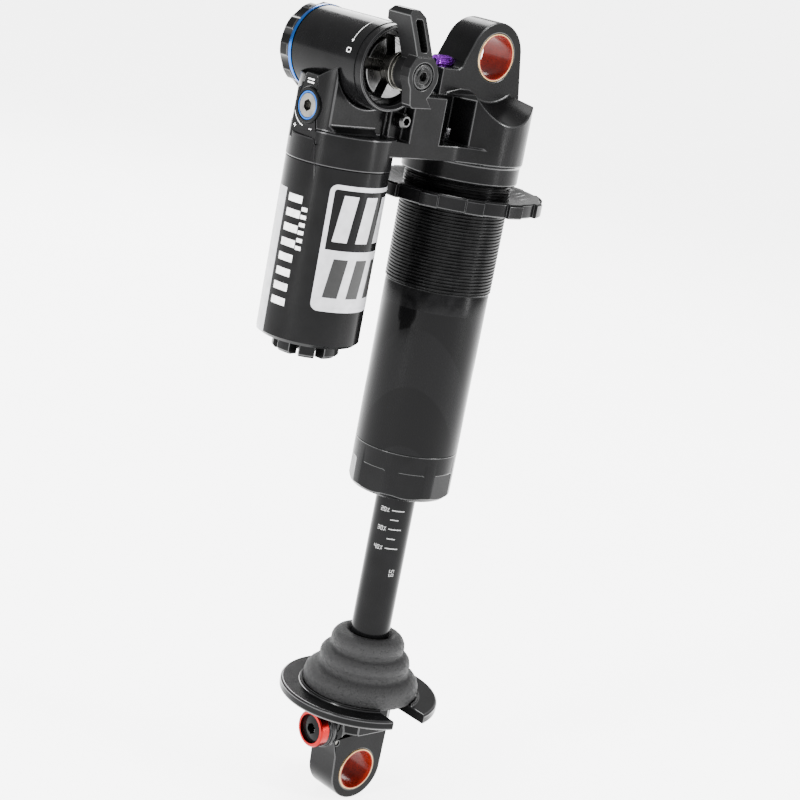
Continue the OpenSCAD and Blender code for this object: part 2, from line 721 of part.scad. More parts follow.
// Lower spring seat: a plate with a lip round the bump stop and a slot to the front
module spring_seat() {
    color([0.12, 0.12, 0.13]) difference() {
        union() {
            ring(seat_d / 2, 0, seat_top_z - seat_t, seat_top_z, 0.5);
            turned([[0, seat_top_z - 1], [19.6, seat_top_z - 1], [19.2, seat_top_z + 0.5],
                    [18.9, seat_top_z + 0.9], [0, seat_top_z + 0.9]]);
        }
        rod(18.7, seat_top_z, seat_top_z + 2);
        rod(shaft_r + 0.4, seat_top_z - seat_t - 1, seat_top_z + 1);
        translate([-seat_slot / 2, -30, seat_top_z - seat_t - 1]) cube([seat_slot, 30, seat_t + 3]);
        // counterbore that centres the plate on the eye's shoulder
        rod(9.2, seat_top_z - seat_t - e, seat_top_z - seat_t + 1);
    }
}

// Lower eye with the shoulder for the seat and the housing of the rebound knob
module lower_eye() {
    outline = concat(
        arc([0, zl], 10, 0, -180, 30),
        [[-10.4, zl + 6], [-11.8, zl + 11], [-11.8, zl + 20.5], [-9.4, zl + 22.6],
         [9.4, zl + 22.6], [10.4, zl + 20]]);
    color([0.13, 0.13, 0.14]) difference() {
        union() {
            plate_y(outline, -5.9, 5.9);
            intersection() {
                ring(11, 0, zl + 14, seat_top_z - seat_t - 0.1, 0.4);
                translate([-12, -9.4, zl]) cube([24, 18.8, 60]);
            }
            rod(9, seat_top_z - seat_t - 1, seat_top_z - seat_t + 0.8);
            translate([0, 0, knob_z]) along_x(-12.9) turned([[0, 0], [5.4, 0], [5.8, 0.5],
                                                             [6.2, 4], [0, 4]]);
        }
        rod(shaft_r, zl + 18, seat_top_z);
        along_y(-10) translate([0, -zl, 0]) cylinder(r = bush_r, h = 20);
        translate([0, 0, knob_z]) along_x(-13) cylinder(r = 2.5 + run, h = 16);
        rod(2 + run, knob_z, zl + 19);
        // hole of the knob's retaining pin
        translate([-10.6, 0, knob_z - 3.6]) along_y(-8) cylinder(r = 0.8, h = 16);
    }
}

module lower_bush_shell() { eye_bush(zl); }
module lower_bush_liner() { eye_liner(zl); }

module knob_pin() {
    color([0.7, 0.7, 0.72]) translate([-10.6, 0, knob_z - 3.6]) along_y(-5.4) cylinder(r = 0.8, h = 10.8);
}

// Rebound knob: spindle, flange and a black cone with a socket
module rebound_knob() {
    color([0.12, 0.12, 0.12]) translate([0, 0, knob_z]) difference() {
        union() {
            along_x(-18) turned([[0, 0.6], [1.8, 0.6], [4.7, 1.2], [4.7, 3], [5.9, 3.2], [5.9, 4.2],
                                 [6.5, 4.5], [6.5, 5.05], [0, 5.05]]);
            along_x(-13) cylinder(r = 2.5, h = 14.8);
        }
        along_x(-19) cylinder(d = 3 / cos(30), h = 4.4, $fn = 6);
    }
}

module rebound_ring() {
    color([0.75, 0.15, 0.15]) translate([0, 0, knob_z]) along_x(-18)
        difference() {
            turned([[0, 0], [5.5, 0], [5.9, 0.4], [5.9, 3], [0, 3]]);
            translate([0, 0, -1]) cylinder(r = 4.7, h = 5);
        }
}

module rebound_rod() {
    color([0.8, 0.8, 0.82]) rod(2, knob_z + 2.55, -101.7);
}

head_forging();
upper_bush_shell();
upper_bush_liner();
damper_tube();
body_wrap();
seal_head();
seal_head_oring();
shaft_bushing();
shaft_seal();
dust_wiper();
bottom_out_cup();
collar_oring();
preload_collar();
reservoir_tube();
reservoir_oring();
floating_piston();
floating_piston_seal();
reservoir_cap();
air_valve();
air_valve_core();
air_valve_cap();
compression_barrel();
barrel_bezel();
cartridge_nut();
compression_piston();
compression_shims();
lsc_dial();
lsc_ring();
lsc_needle();
threshold_lever();
lever_spindle();
lever_bolt();
hsc_bezel();
hsc_adjuster();
hsc_ring();
hsc_plunger();
bleed_screw();
bottom_out_dial();
bottom_out_needle();
damper_shaft();
topout_bumper();
rebound_shims();
main_piston();
glide_ring();
main_shims();
piston_nut();
bottom_out_piston();
bump_stop();
spring_seat();
lower_eye();
lower_bush_shell();
lower_bush_liner();
knob_pin();
rebound_knob();
rebound_ring();
rebound_rod();
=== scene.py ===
"""Looks of a rear shock without its coil spring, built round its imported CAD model."""
import json
import math

import bmesh
import bpy
import numpy as np
from mathutils import Matrix, Vector


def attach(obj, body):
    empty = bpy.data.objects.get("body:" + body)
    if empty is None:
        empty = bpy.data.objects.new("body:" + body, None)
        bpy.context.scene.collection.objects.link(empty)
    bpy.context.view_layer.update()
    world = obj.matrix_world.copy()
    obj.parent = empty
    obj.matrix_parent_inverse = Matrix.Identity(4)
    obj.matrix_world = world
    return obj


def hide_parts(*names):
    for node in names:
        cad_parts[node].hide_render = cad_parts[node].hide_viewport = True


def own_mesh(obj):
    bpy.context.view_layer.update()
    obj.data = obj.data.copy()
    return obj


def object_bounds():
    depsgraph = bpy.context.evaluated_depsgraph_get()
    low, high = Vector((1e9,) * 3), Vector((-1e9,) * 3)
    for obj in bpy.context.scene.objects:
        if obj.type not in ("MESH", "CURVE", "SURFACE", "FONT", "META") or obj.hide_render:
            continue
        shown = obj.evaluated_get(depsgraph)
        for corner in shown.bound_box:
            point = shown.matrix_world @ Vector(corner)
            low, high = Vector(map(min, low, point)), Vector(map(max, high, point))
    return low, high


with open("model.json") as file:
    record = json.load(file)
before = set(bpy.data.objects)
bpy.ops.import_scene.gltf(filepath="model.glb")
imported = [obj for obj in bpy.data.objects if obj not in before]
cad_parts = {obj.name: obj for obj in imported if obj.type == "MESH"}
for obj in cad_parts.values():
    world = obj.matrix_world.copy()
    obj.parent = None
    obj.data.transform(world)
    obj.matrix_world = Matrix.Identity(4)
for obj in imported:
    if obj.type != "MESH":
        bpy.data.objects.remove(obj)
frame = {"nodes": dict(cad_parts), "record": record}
cad_box = [list(corner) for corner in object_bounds()]

MM = 0.001
NODES = frame["nodes"]
BODY_OF = {node: body for body, nodes in frame["record"]["behaviour"]["bodies"].items()
           for node in nodes}
SLOT_OF = {part["node"]: part["material_slot"] for part in frame["record"]["subparts"]}


# ------------------------------------------------------------------ materials

def start_material(name):
    """A new material, its node tree and its main shader."""
    material = bpy.data.materials.new(name)
    material.use_nodes = True
    tree = material.node_tree
    return material, tree, tree.nodes["Principled BSDF"]


def link(tree, a, b):
    """Joins output a to input b."""
    tree.links.new(a, b)


def object_coords(tree, scale=(1, 1, 1), turn=(0, 0, 0)):
    """Place on the object in millimetres, stretched or turned."""
    coords = tree.nodes.new("ShaderNodeTexCoord")
    mapping = tree.nodes.new("ShaderNodeMapping")
    mapping.inputs["Scale"].default_value = [1000 * s for s in scale]
    mapping.inputs["Rotation"].default_value = [math.radians(t) for t in turn]
    link(tree, coords.outputs["Object"], mapping.inputs["Vector"])
    return mapping.outputs["Vector"]


def noise(tree, size, detail=3.0, scale=(1, 1, 1)):
    """Soft noise whose blobs are about size millimetres across."""
    node = tree.nodes.new("ShaderNodeTexNoise")
    node.inputs["Scale"].default_value = 1 / size
    node.inputs["Detail"].default_value = detail
    link(tree, object_coords(tree, scale), node.inputs["Vector"])
    return node.outputs["Fac"]


def cells(tree, size):
    """Distance to the middle of random cells about size millimetres across."""
    node = tree.nodes.new("ShaderNodeTexVoronoi")
    node.inputs["Scale"].default_value = 1 / size
    link(tree, object_coords(tree), node.inputs["Vector"])
    return node.outputs["Distance"]


def ramp(tree, value, stops):
    """Colour ramp through stops of (position, colour or grey)."""
    node = tree.nodes.new("ShaderNodeValToRGB")
    elements = node.color_ramp.elements
    while len(elements) < len(stops):
        elements.new(0.5)
    for element, (position, colour) in zip(elements, stops):
        element.position = position
        element.color = (*colour, 1) if isinstance(colour, tuple) else (colour, colour, colour, 1)
    link(tree, value, node.inputs["Fac"])
    return node.outputs["Color"]


def bump(tree, shader, height, strength, depth):
    """Surface relief from a height, depth in millimetres."""
    node = tree.nodes.new("ShaderNodeBump")
    node.inputs["Strength"].default_value = strength
    node.inputs["Distance"].default_value = depth * MM
    link(tree, height, node.inputs["Height"])
    link(tree, node.outputs["Normal"], shader.inputs["Normal"])


GRAIN = 0.12          # millimetres across, in blasted metal and in fine tool lines
RELIEF = 0.02         # depth of that grain in millimetres
TONE_PATCH = 9.0      # millimetres over which the tone of a coated surface changes
GLOSS_PATCH = TONE_PATCH * 0.4


def anodised(name, dark, light, rough, metal=0.0, specular=0.5):
    """Satin anodised or painted metal: fine blasted grain, slow change of tone and gloss."""
    material, tree, shader = start_material(name)
    tone = ramp(tree, noise(tree, TONE_PATCH, 4), [(0.3, dark), (0.72, light)])
    link(tree, tone, shader.inputs["Base Color"])
    roughness = ramp(tree, noise(tree, GLOSS_PATCH, 5), [(0.25, rough[0]), (0.75, rough[1])])
    link(tree, roughness, shader.inputs["Roughness"])
    shader.inputs["Metallic"].default_value = metal
    shader.inputs["Specular IOR Level"].default_value = specular
    bump(tree, shader, noise(tree, GRAIN, 2), 0.12, RELIEF)
    return material


def turned_metal(name, dark, light, rough, axis, specular=0.5, metal=1.0):
    """Machined metal with fine tool lines round its axis."""
    material, tree, shader = start_material(name)
    tone_patch = 3        # millimetres
    drawn_out = 0.02      # the grain is stretched into lines everywhere but along the axis
    lines = noise(tree, GRAIN, 2, [1 if letter == axis else drawn_out for letter in "xyz"])
    tone = ramp(tree, noise(tree, tone_patch, 3), [(0.3, dark), (0.7, light)])
    link(tree, tone, shader.inputs["Base Color"])
    link(tree, ramp(tree, lines, [(0.3, rough[0]), (0.7, rough[1])]), shader.inputs["Roughness"])
    shader.inputs["Metallic"].default_value = metal
    shader.inputs["Specular IOR Level"].default_value = specular
    bump(tree, shader, lines, 0.15, RELIEF)
    return material


def rubber(name, colour, rough=0.6, specular=0.25):
    """Rubber, polymer or printing ink: one colour, slightly uneven, with a soft fine relief."""
    material, tree, shader = start_material(name)
    tone_patch, grain, relief = 2, 0.25, 0.03     # millimetres
    light = tuple(c * 1.5 + 0.001 for c in colour)
    tone = ramp(tree, noise(tree, tone_patch, 4), [(0.3, colour), (0.7, light)])
    link(tree, tone, shader.inputs["Base Color"])
    shader.inputs["Roughness"].default_value = rough
    shader.inputs["Specular IOR Level"].default_value = specular
    bump(tree, shader, noise(tree, grain, 3), 0.2, relief)
    return material


def film(name):
    """Gloss black film with broad slanted strokes of lower gloss printed in it."""
    material, tree, shader = start_material(name)
    stroke = tree.nodes.new("ShaderNodeTexWave")
    stroke.bands_direction = "DIAGONAL"
    stroke.inputs["Scale"].default_value = 0.022
    stroke.inputs["Distortion"].default_value = 6
    stroke.inputs["Detail"].default_value = 0
    stroke.inputs["Detail Scale"].default_value = 0.5
    stretch, turn = (1, 1, 0.6), (0, 0, 20)
    link(tree, object_coords(tree, stretch, turn), stroke.inputs["Vector"])
    mask = ramp(tree, stroke.outputs["Fac"], [(0.47, 0), (0.53, 1)])
    link(tree, ramp(tree, mask, [(0, BLACK), (1, (0.0036, 0.0036, 0.0038))]), shader.inputs["Base Color"])
    link(tree, ramp(tree, mask, [(0, 0.13), (1, 0.26)]), shader.inputs["Roughness"])
    shader.inputs["Specular IOR Level"].default_value = GLOSS
    return material


def foam(name):
    """Grey microcellular foam: an even skin with small pits, darkened by painted shade."""
    material, tree, shader = start_material(name)
    pit_spacing, grain, relief = 1.15, 0.35, 0.25     # millimetres
    # The pits darken the colour as painted shade in the pores, and also sink the skin through the bump.
    pits = ramp(tree, cells(tree, pit_spacing), [(0.14, 0), (0.27, 1)])
    skin = tree.nodes.new("ShaderNodeMath")
    skin.operation = "MULTIPLY"
    link(tree, pits, skin.inputs[0])
    link(tree, ramp(tree, noise(tree, grain, 4), [(0.3, 0.35), (0.7, 1)]), skin.inputs[1])
    tone = ramp(tree, skin.outputs[0], [(0, (0.005, 0.005, 0.005)), (1, (0.017, 0.017, 0.0175))])
    link(tree, tone, shader.inputs["Base Color"])
    shader.inputs["Roughness"].default_value = 0.62
    shader.inputs["Specular IOR Level"].default_value = 0.25
    bump(tree, shader, skin.outputs[0], 0.8, relief)
    return material


GLOSS = 0.05          # specular level of the black coatings
BLACK, BLACK_LIGHT = (0.0022, 0.0022, 0.0023), (0.0042, 0.0042, 0.0044)
MATERIALS = {
    "black_anodised": anodised("black_anodised", BLACK, BLACK_LIGHT, (0.2, 0.28), specular=GLOSS),
    "threaded_tube": turned_metal("threaded_tube", BLACK, (0.006, 0.006, 0.0062), (0.2, 0.3), "z", metal=0,
                                  specular=GLOSS),
    "printed_film": film("printed_film"),
    "bush_shell": turned_metal("bush_shell", (0.26, 0.16, 0.07), (0.42, 0.29, 0.14), (0.18, 0.3), "y"),
    "bush_liner": rubber("bush_liner", (0.12, 0.007, 0.003), 0.22, 0.12),
    "seal_rubber": rubber("seal_rubber", (0.004, 0.004, 0.004), 0.5),
    "bush_bronze": turned_metal("bush_bronze", (0.3, 0.2, 0.1), (0.42, 0.28, 0.15), (0.35, 0.5), "z"),
    "bare_aluminium": turned_metal("bare_aluminium", (0.62, 0.62, 0.64), (0.75, 0.75, 0.77), (0.22, 0.36),
                                   "z"),
    "collar_black": anodised("collar_black", BLACK, BLACK_LIGHT, (0.18, 0.25), specular=GLOSS),
    "reservoir_black": anodised("reservoir_black", BLACK, BLACK_LIGHT, (0.16, 0.22), specular=GLOSS),
    "valve_brass": turned_metal("valve_brass", (0.62, 0.5, 0.28), (0.72, 0.6, 0.36), (0.22, 0.34), "z"),
    "black_plastic": anodised("black_plastic", BLACK, BLACK_LIGHT, (0.4, 0.5), specular=GLOSS),
    "bezel_black": turned_metal("bezel_black", BLACK, BLACK_LIGHT, (0.2, 0.3), "y", metal=0, specular=GLOSS),
    "nut_grey": turned_metal("nut_grey", (0.05, 0.05, 0.05), (0.09, 0.09, 0.09), (0.22, 0.34), "y"),
    "spring_steel": turned_metal("spring_steel", (0.6, 0.6, 0.61), (0.7, 0.7, 0.71), (0.2, 0.3), "z"),
    "dial_black": anodised("dial_black", BLACK, BLACK_LIGHT, (0.16, 0.24), specular=GLOSS),
    "ring_blue": turned_metal("ring_blue", (0.008, 0.06, 0.25), (0.015, 0.1, 0.36), (0.2, 0.3), "y"),
    "ring_red": turned_metal("ring_red", (0.16, 0.004, 0.004), (0.24, 0.007, 0.008), (0.2, 0.32), "x"),
    "steel": turned_metal("steel", (0.1, 0.098, 0.09), (0.18, 0.175, 0.16), (0.2, 0.32), "y"),
    "lever_black": anodised("lever_black", (0.003, 0.003, 0.0031), (0.005, 0.005, 0.0052), (0.28, 0.38),
                            specular=GLOSS),
    "bolt_black": anodised("bolt_black", BLACK, (0.008, 0.008, 0.008), (0.2, 0.3), specular=GLOSS),
    "dial_purple": anodised("dial_purple", (0.1, 0.005, 0.22), (0.22, 0.02, 0.42), (0.15, 0.25), metal=0.9),
    "shaft_black": anodised("shaft_black", BLACK, BLACK_LIGHT, (0.08, 0.14), specular=0.05),
    "bumper_amber": rubber("bumper_amber", (0.5, 0.38, 0.1), 0.45),
    "bump_foam": foam("bump_foam"),
}
# Rounded-off edges of black pieces: a lighter base colour as a painted highlight, with more gloss and a
# little metal.
EDGE = anodised("edge_painted_highlight", (0.009, 0.009, 0.0094), (0.016, 0.016, 0.0166), (0.18, 0.26), metal=0.2,
                specular=0.35)
DARK_SCREW = turned_metal("dark_screw", (0.03, 0.03, 0.03), (0.06, 0.06, 0.06), (0.2, 0.3), "y")
SILVER = turned_metal("print_silver", (0.3, 0.3, 0.31), (0.4, 0.4, 0.42), (0.3, 0.4), "z", metal=0.3)
WHITE = rubber("print_white", (0.55, 0.55, 0.55), 0.5)
GREY = rubber("print_grey", (0.2, 0.2, 0.2), 0.5)
PRINT_BLACK = rubber("print_black", (0.003, 0.003, 0.003), 0.4)


# ------------------------------------------------------------------ pieces made from the CAD nodes

WELD = 2e-6           # metres between points that are one point
HARD_EDGE = 30        # degrees from which an edge is rounded off
CREASE = 15           # degrees from which the rounded shape still shades as an edge
EDGE_WIDTH = {        # millimetres rounded off each hard edge
    "head_forging": 0.35, "preload_collar": 0.12, "spring_seat": 0.3, "lower_eye": 0.35,
    "threshold_lever": 0.22, "reservoir_cap": 0.2, "seal_head": 0.22, "lsc_dial": 0.25, "barrel_bezel": 0.12,
    "cartridge_nut": 0.15, "lever_spindle": 0.12, "lever_bolt": 0.12, "bottom_out_dial": 0.06,
    "rebound_knob": 0.12}


def soften(node, width):
    """Stands in for a CAD node: its own shape with the hard edges rounded off, width in millimetres."""
    mesh = NODES[node].data.copy()
    bm = bmesh.new()
    bm.from_mesh(mesh)
    bmesh.ops.remove_doubles(bm, verts=bm.verts, dist=WELD)
    bmesh.ops.dissolve_limit(bm, angle_limit=math.radians(0.5), verts=bm.verts, edges=bm.edges)
    sharp = [e for e in bm.edges if e.is_manifold and e.calc_face_angle(0) > math.radians(HARD_EDGE)]
    bmesh.ops.bevel(bm, geom=sharp, offset=width * MM, offset_type="OFFSET", segments=2, profile=0.6,
                    affect="EDGES", clamp_overlap=False, material=1)
    new = bpy.data.meshes.new(node + "_soft")
    bm.to_mesh(new)
    bm.free()
    new.shade_smooth()
    new.set_sharp_from_angle(angle=math.radians(CREASE))
    piece = bpy.data.objects.new(node + "_soft", new)
    bpy.context.scene.collection.objects.link(piece)
    new.materials.append(MATERIALS[SLOT_OF[node]])
    # On black pieces the rounded-off edges take the lighter edge material, a painted highlight.
    new.materials.append(EDGE if "black" in SLOT_OF[node] else MATERIALS[SLOT_OF[node]])
    weighted = piece.modifiers.new("weighted", "WEIGHTED_NORMAL")
    weighted.keep_sharp = True
    weighted.weight = 90
    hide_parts(node)
    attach(piece, BODY_OF[node])


for node, piece in NODES.items():
    piece.data.materials.clear()
    piece.data.materials.append(DARK_SCREW if node == "bleed_screw" else MATERIALS[SLOT_OF[node]])

for node, width in EDGE_WIDTH.items():
    soften(node, width)


def finish_piece(name, mesh, body, material, smooth=40):
    """Puts a mesh in the scene on its body, smooth up to an angle in degrees."""
    mesh.shade_smooth()
    mesh.set_sharp_from_angle(angle=math.radians(smooth))
    mesh.materials.clear()
    mesh.materials.append(material)
    piece = bpy.data.objects.new(name, mesh)
    bpy.context.scene.collection.objects.link(piece)
    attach(piece, body)
    return piece


def turned_mesh(name, rows, steps):
    """Closed mesh from rows of (radius, z) that each go once round Z; the last row meets the first."""
    angles = [2 * math.pi * j / steps for j in range(steps)]
    verts = [(r * math.cos(a) * MM, r * math.sin(a) * MM, z * MM)
             for row in rows for a, (r, z) in zip(angles, row)]
    faces = []
    for i in range(len(rows)):
        a, b = i * steps, (i + 1) % len(rows) * steps
        faces += [(a + j, a + (j + 1) % steps, b + (j + 1) % steps, b + j) for j in range(steps)]
    mesh = bpy.data.meshes.new(name)
    mesh.from_pydata(verts, [], faces)
    bm = bmesh.new()
    bm.from_mesh(mesh)
    bmesh.ops.recalc_face_normals(bm, faces=bm.faces)
    bm.to_mesh(mesh)
    bm.free()
    return mesh


# Threaded tube with a true helix in place of the CAD model's separate ridges
THREAD_R, THREAD_DEPTH, THREAD_PITCH = 16.25, 0.5, 1.0
THREAD_Z = (-70.0, -36.9)
RIDGE_TOP, RIDGE_SLOPE = 2.6, 7.2     # height at a ridge's middle before the cut at 1, and its slope
FADE_LOW, FADE_HIGH = 0.6, 0.5        # millimetres over which the ridge runs out at each end
TUBE_BELOW = ((13, -120.4), (15.81, -120.4), (15.81, -76.1), (15.96, -76.1), (15.96, -70.5), (15.75, -70.1))
TUBE_ABOVE = ((15.75, -36.8), (16.25, -36.2), (16.25, -26), (13, -26))


def thread_radius(turn, z):
    """Outer radius at a height, turn being the share of a full turn round the tube."""
    phase = ((z - THREAD_Z[0]) / THREAD_PITCH - turn) % 1
    ridge = max(0.0, min(1.0, RIDGE_TOP - abs(phase - 0.5) * RIDGE_SLOPE))
    fade = max(0.0, min(1.0, (z - THREAD_Z[0]) / FADE_LOW, (THREAD_Z[1] - z) / FADE_HIGH))
    return THREAD_R - THREAD_DEPTH * (1 - ridge * fade)


def make_tube():
    """Damper tube with its preload thread; the rows in the thread are a twelfth of a pitch apart."""
    steps = 144
    levels = np.arange(THREAD_Z[0], THREAD_Z[1] + 0.01, THREAD_PITCH / 12)
    rows = [[point] * steps for point in TUBE_BELOW]
    rows += [[(thread_radius(j / steps, z), z) for j in range(steps)] for z in levels]
    rows += [[point] * steps for point in TUBE_ABOVE]
    mesh = turned_mesh("damper_tube_helix", rows, steps)
    piece = finish_piece("damper_tube_helix", mesh, "damper_body", MATERIALS["threaded_tube"])
    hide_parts("damper_tube")


FOAM_OUTLINE = [(18.0, -203.4), (18.4, -202.2), (18.45, -200), (17.9, -198.4), (16.4, -197), (14.8, -196.3),
                (14.2, -195.2), (14.6, -193.6), (14.3, -192), (13.2, -190.7), (11.9, -190), (11.5, -189.2),
                (11.9, -188), (11.6, -186.4), (10.5, -184.9), (8.8, -184.1)]
FOAM_FOOT = (6.3, -203.4)
FOAM_MOUTH = [(7.4, -184.0), (6.3, -185.6)]
FOAM_BORE_EDGE = 8    # radius in millimetres inside which the foam stays even
FOAM_WAVE = 0.004     # unevenness of the skin as a share of the radius


def smooth_curve(corners, parts):
    """Catmull-Rom curve through the corners, each stretch cut into parts."""
    ends = [corners[0]] + corners + [corners[-1]]
    curve = []
    for a, b, c, d in zip(ends, ends[1:], ends[2:], ends[3:]):
        for t in (k / parts for k in range(parts)):
            curve.append(tuple(0.5 * (2 * q + (r - p) * t + (2 * p - 5 * q + 4 * r - s) * t ** 2
                                      + (3 * q - p - 3 * r + s) * t ** 3)
                               for p, q, r, s in zip(a, b, c, d)))
    return curve + [corners[-1]]


def skin_wave(x, y, z):
    """Slow and quick waves added together, between about -2 and 2."""
    slow = math.sin(x * 1.9 + z) * math.sin(y * 1.7 - z * 1.3)
    quick = math.sin(x * 4.1 - y * 3.3 + z * 5)
    return slow + quick


def make_bump_stop():
    """Foam bump stop: three rounded tiers on a smooth outline, with a slightly uneven skin."""
    outline = [FOAM_FOOT] + smooth_curve(FOAM_OUTLINE, 5) + FOAM_MOUTH
    steps = 160
    mesh = turned_mesh("bump_stop_foam", [[point] * steps for point in outline], steps)
    for vertex in mesh.vertices:
        x, y, z = (c / MM for c in vertex.co)
        if math.hypot(x, y) > FOAM_BORE_EDGE:
            factor = 1 + FOAM_WAVE * skin_wave(x, y, z) - FOAM_WAVE
            vertex.co.x *= factor
            vertex.co.y *= factor
    piece = finish_piece("bump_stop_foam", mesh, "shaft_assembly", MATERIALS["bump_foam"], 80)
    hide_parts("bump_stop")
    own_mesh(piece)


# ------------------------------------------------------------------ printed marks

PRINT_LIFT = 0.02     # millimetres from a surface to its print
SHAFT_R = 6.25
SAG_MARKS = ((-141.5, "20%"), (-144.55, ""), (-147.65, "30%"), (-150.8, ""), (-153.95, "40%"))
SAG_SIDES = (212.3, 32.3)     # degrees round the shaft
RESERVOIR_X, RESERVOIR_PRINT_R = -48.15, 14.96
BARREL_X, BARREL_Z, BARREL_R = -48.15, -4.98, 12.2
ADJUSTER_FACE_X, ADJUSTER_Z, SCALE_R = -62.32, -19.3, 5.9
LETTER_PITCH = 1.7    # times the size of a numeral


def mark(name, shapes, place, body, material, step=1.0):
    """Thin printed shapes, given as flat outlines in millimetres and put on the surface by place(u, v)."""
    bm = bmesh.new()
    for shape in shapes:
        bm.faces.new([bm.verts.new((u, v, 0)) for u, v in shape])
    bmesh.ops.triangulate(bm, faces=bm.faces)
    us = [v.co.x for v in bm.verts]
    for cut in np.arange(min(us) + step, max(us), step):
        geom = list(bm.verts) + list(bm.edges) + list(bm.faces)
        bmesh.ops.bisect_plane(bm, geom=geom, plane_co=(cut, 0, 0), plane_no=(1, 0, 0))
    for vertex in bm.verts:
        vertex.co = Vector(place(vertex.co.x, vertex.co.y)) * MM
    mesh = bpy.data.meshes.new(name)
    bm.to_mesh(mesh)
    bm.free()
    return finish_piece(name, mesh, body, material)


def round_z(radius, middle, cx=0.0, z0=0.0):
    """Wraps (u, v) round an upright cylinder: u runs along the skin from the angle middle, v is up."""
    def place(u, v):
        angle = math.radians(middle) + u / radius
        lifted = radius + PRINT_LIFT
        return cx + lifted * math.cos(angle), lifted * math.sin(angle), z0 + v
    return place


def round_barrel(u, v):
    """Wraps (u, v) round the barrel: u leans from the top in millimetres of skin, v is the place on Y."""
    lean = u / BARREL_R
    lifted = BARREL_R + PRINT_LIFT
    return BARREL_X - lifted * math.sin(lean), v, BARREL_Z + lifted * math.cos(lean)


def on_reservoir(angle):
    """Wraps (u, v) round the reservoir, about an angle in degrees."""
    return round_z(RESERVOIR_PRINT_R, angle, RESERVOIR_X)


def above_reservoir(angle, lift):
    """As on_reservoir, a lift further out, for one print on top of another."""
    place = on_reservoir(angle)

    def lifted(u, v):
        x, y, z = place(u, v)
        out = Vector((x - RESERVOIR_X, y)).normalized() * lift
        return x + out.x, y + out.y, z
    return lifted


def on_adjuster_face(u, v):
    """Puts (u, v) on the flat face round the high-speed adjuster."""
    return ADJUSTER_FACE_X, -u, v


def box_shape(u0, v0, u1, v1, slant=0.0):
    """Upright box, or one whose top is moved sideways by slant."""
    return [(u0, v0), (u1, v0), (u1 + slant, v1), (u0 + slant, v1)]


def frame_shapes(u0, v0, u1, v1, corner, width):
    """Rounded rectangular frame as quads."""
    steps, smallest = 6, 0.05

    def outline(inset):
        r = max(corner - inset, smallest)
        points = []
        for cu, cv, a in ((u1 - corner, v1 - corner, 0), (u0 + corner, v1 - corner, 90),
                          (u0 + corner, v0 + corner, 180), (u1 - corner, v0 + corner, 270)):
            turns = [math.radians(a + k * 90 / steps) for k in range(steps + 1)]
            points += [(cu + r * math.cos(turn), cv + r * math.sin(turn)) for turn in turns]
        return points
    outer, inner = outline(0), outline(width)
    n = len(outer)
    return [[outer[i], outer[(i + 1) % n], inner[(i + 1) % n], inner[i]] for i in range(n)]


DIGITS = {  # strokes of plain numerals on a 1 x 2 grid
    "0": [(0, 0, 1, 0), (1, 0, 1, 2), (0, 2, 1, 2), (0, 0, 0, 2)],
    "2": [(0, 2, 1, 2), (1, 1, 1, 2), (0, 1, 1, 1), (0, 0, 0, 1), (0, 0, 1, 0)],
    "3": [(0, 2, 1, 2), (1, 0, 1, 2), (0, 1, 1, 1), (0, 0, 1, 0)],
    "4": [(0, 1, 0, 2), (0, 1, 1, 1), (1, 0, 1, 2)],
    "5": [(0, 2, 1, 2), (0, 1, 0, 2), (0, 1, 1, 1), (1, 0, 1, 1), (0, 0, 1, 0)],
    "6": [(0, 2, 1, 2), (0, 0, 0, 2), (0, 1, 1, 1), (1, 0, 1, 1), (0, 0, 1, 0)],
    "%": [(0.1, 0, 0.9, 2), (0, 1.7, 0.25, 1.7), (0.75, 0.3, 1, 0.3)],
    "+": [(0, 1, 1, 1), (0.5, 0.5, 0.5, 1.5)], "-": [(0, 1, 1, 1)]}


def numerals(text, u, v, size, width):
    """Strokes of the text as slim boxes, its lower left corner at (u, v)."""
    shapes = []
    for index, letter in enumerate(text):
        for a, b, c, d in DIGITS[letter]:
            p = Vector((u + (index * LETTER_PITCH + a) * size, v + b * size))
            q = Vector((u + (index * LETTER_PITCH + c) * size, v + d * size))
            along = (q - p).normalized() * width / 2
            across = Vector((-along.y, along.x))
            corners = (p - along - across, q + along - across, q + along + across, p - along + across)
            shapes.append([tuple(corner) for corner in corners])
    return shapes


def make_shaft_marks():
    """Sag scale on both sides of the shaft, and the stroke in millimetres, reading along the shaft."""
    half_line, long, short = 0.16, 5.1, 3.6
    for side, middle in enumerate(SAG_SIDES):
        shapes = []
        for z, text in SAG_MARKS:
            shapes.append(box_shape(1.0, z - half_line, long if text else short, z + half_line))
            shapes += numerals(text, -2.6, z - 0.7, 0.62, 0.2)
        mark(f"sag_scale_{side}", shapes, round_z(SHAFT_R, middle), "shaft_assembly", GREY)
    turned = [[(-b, a) for a, b in shape] for shape in numerals("65", 0, 0, 0.75, 0.22)]
    mark("stroke_number", turned, round_z(SHAFT_R, 262, 0, -163), "shaft_assembly", GREY)


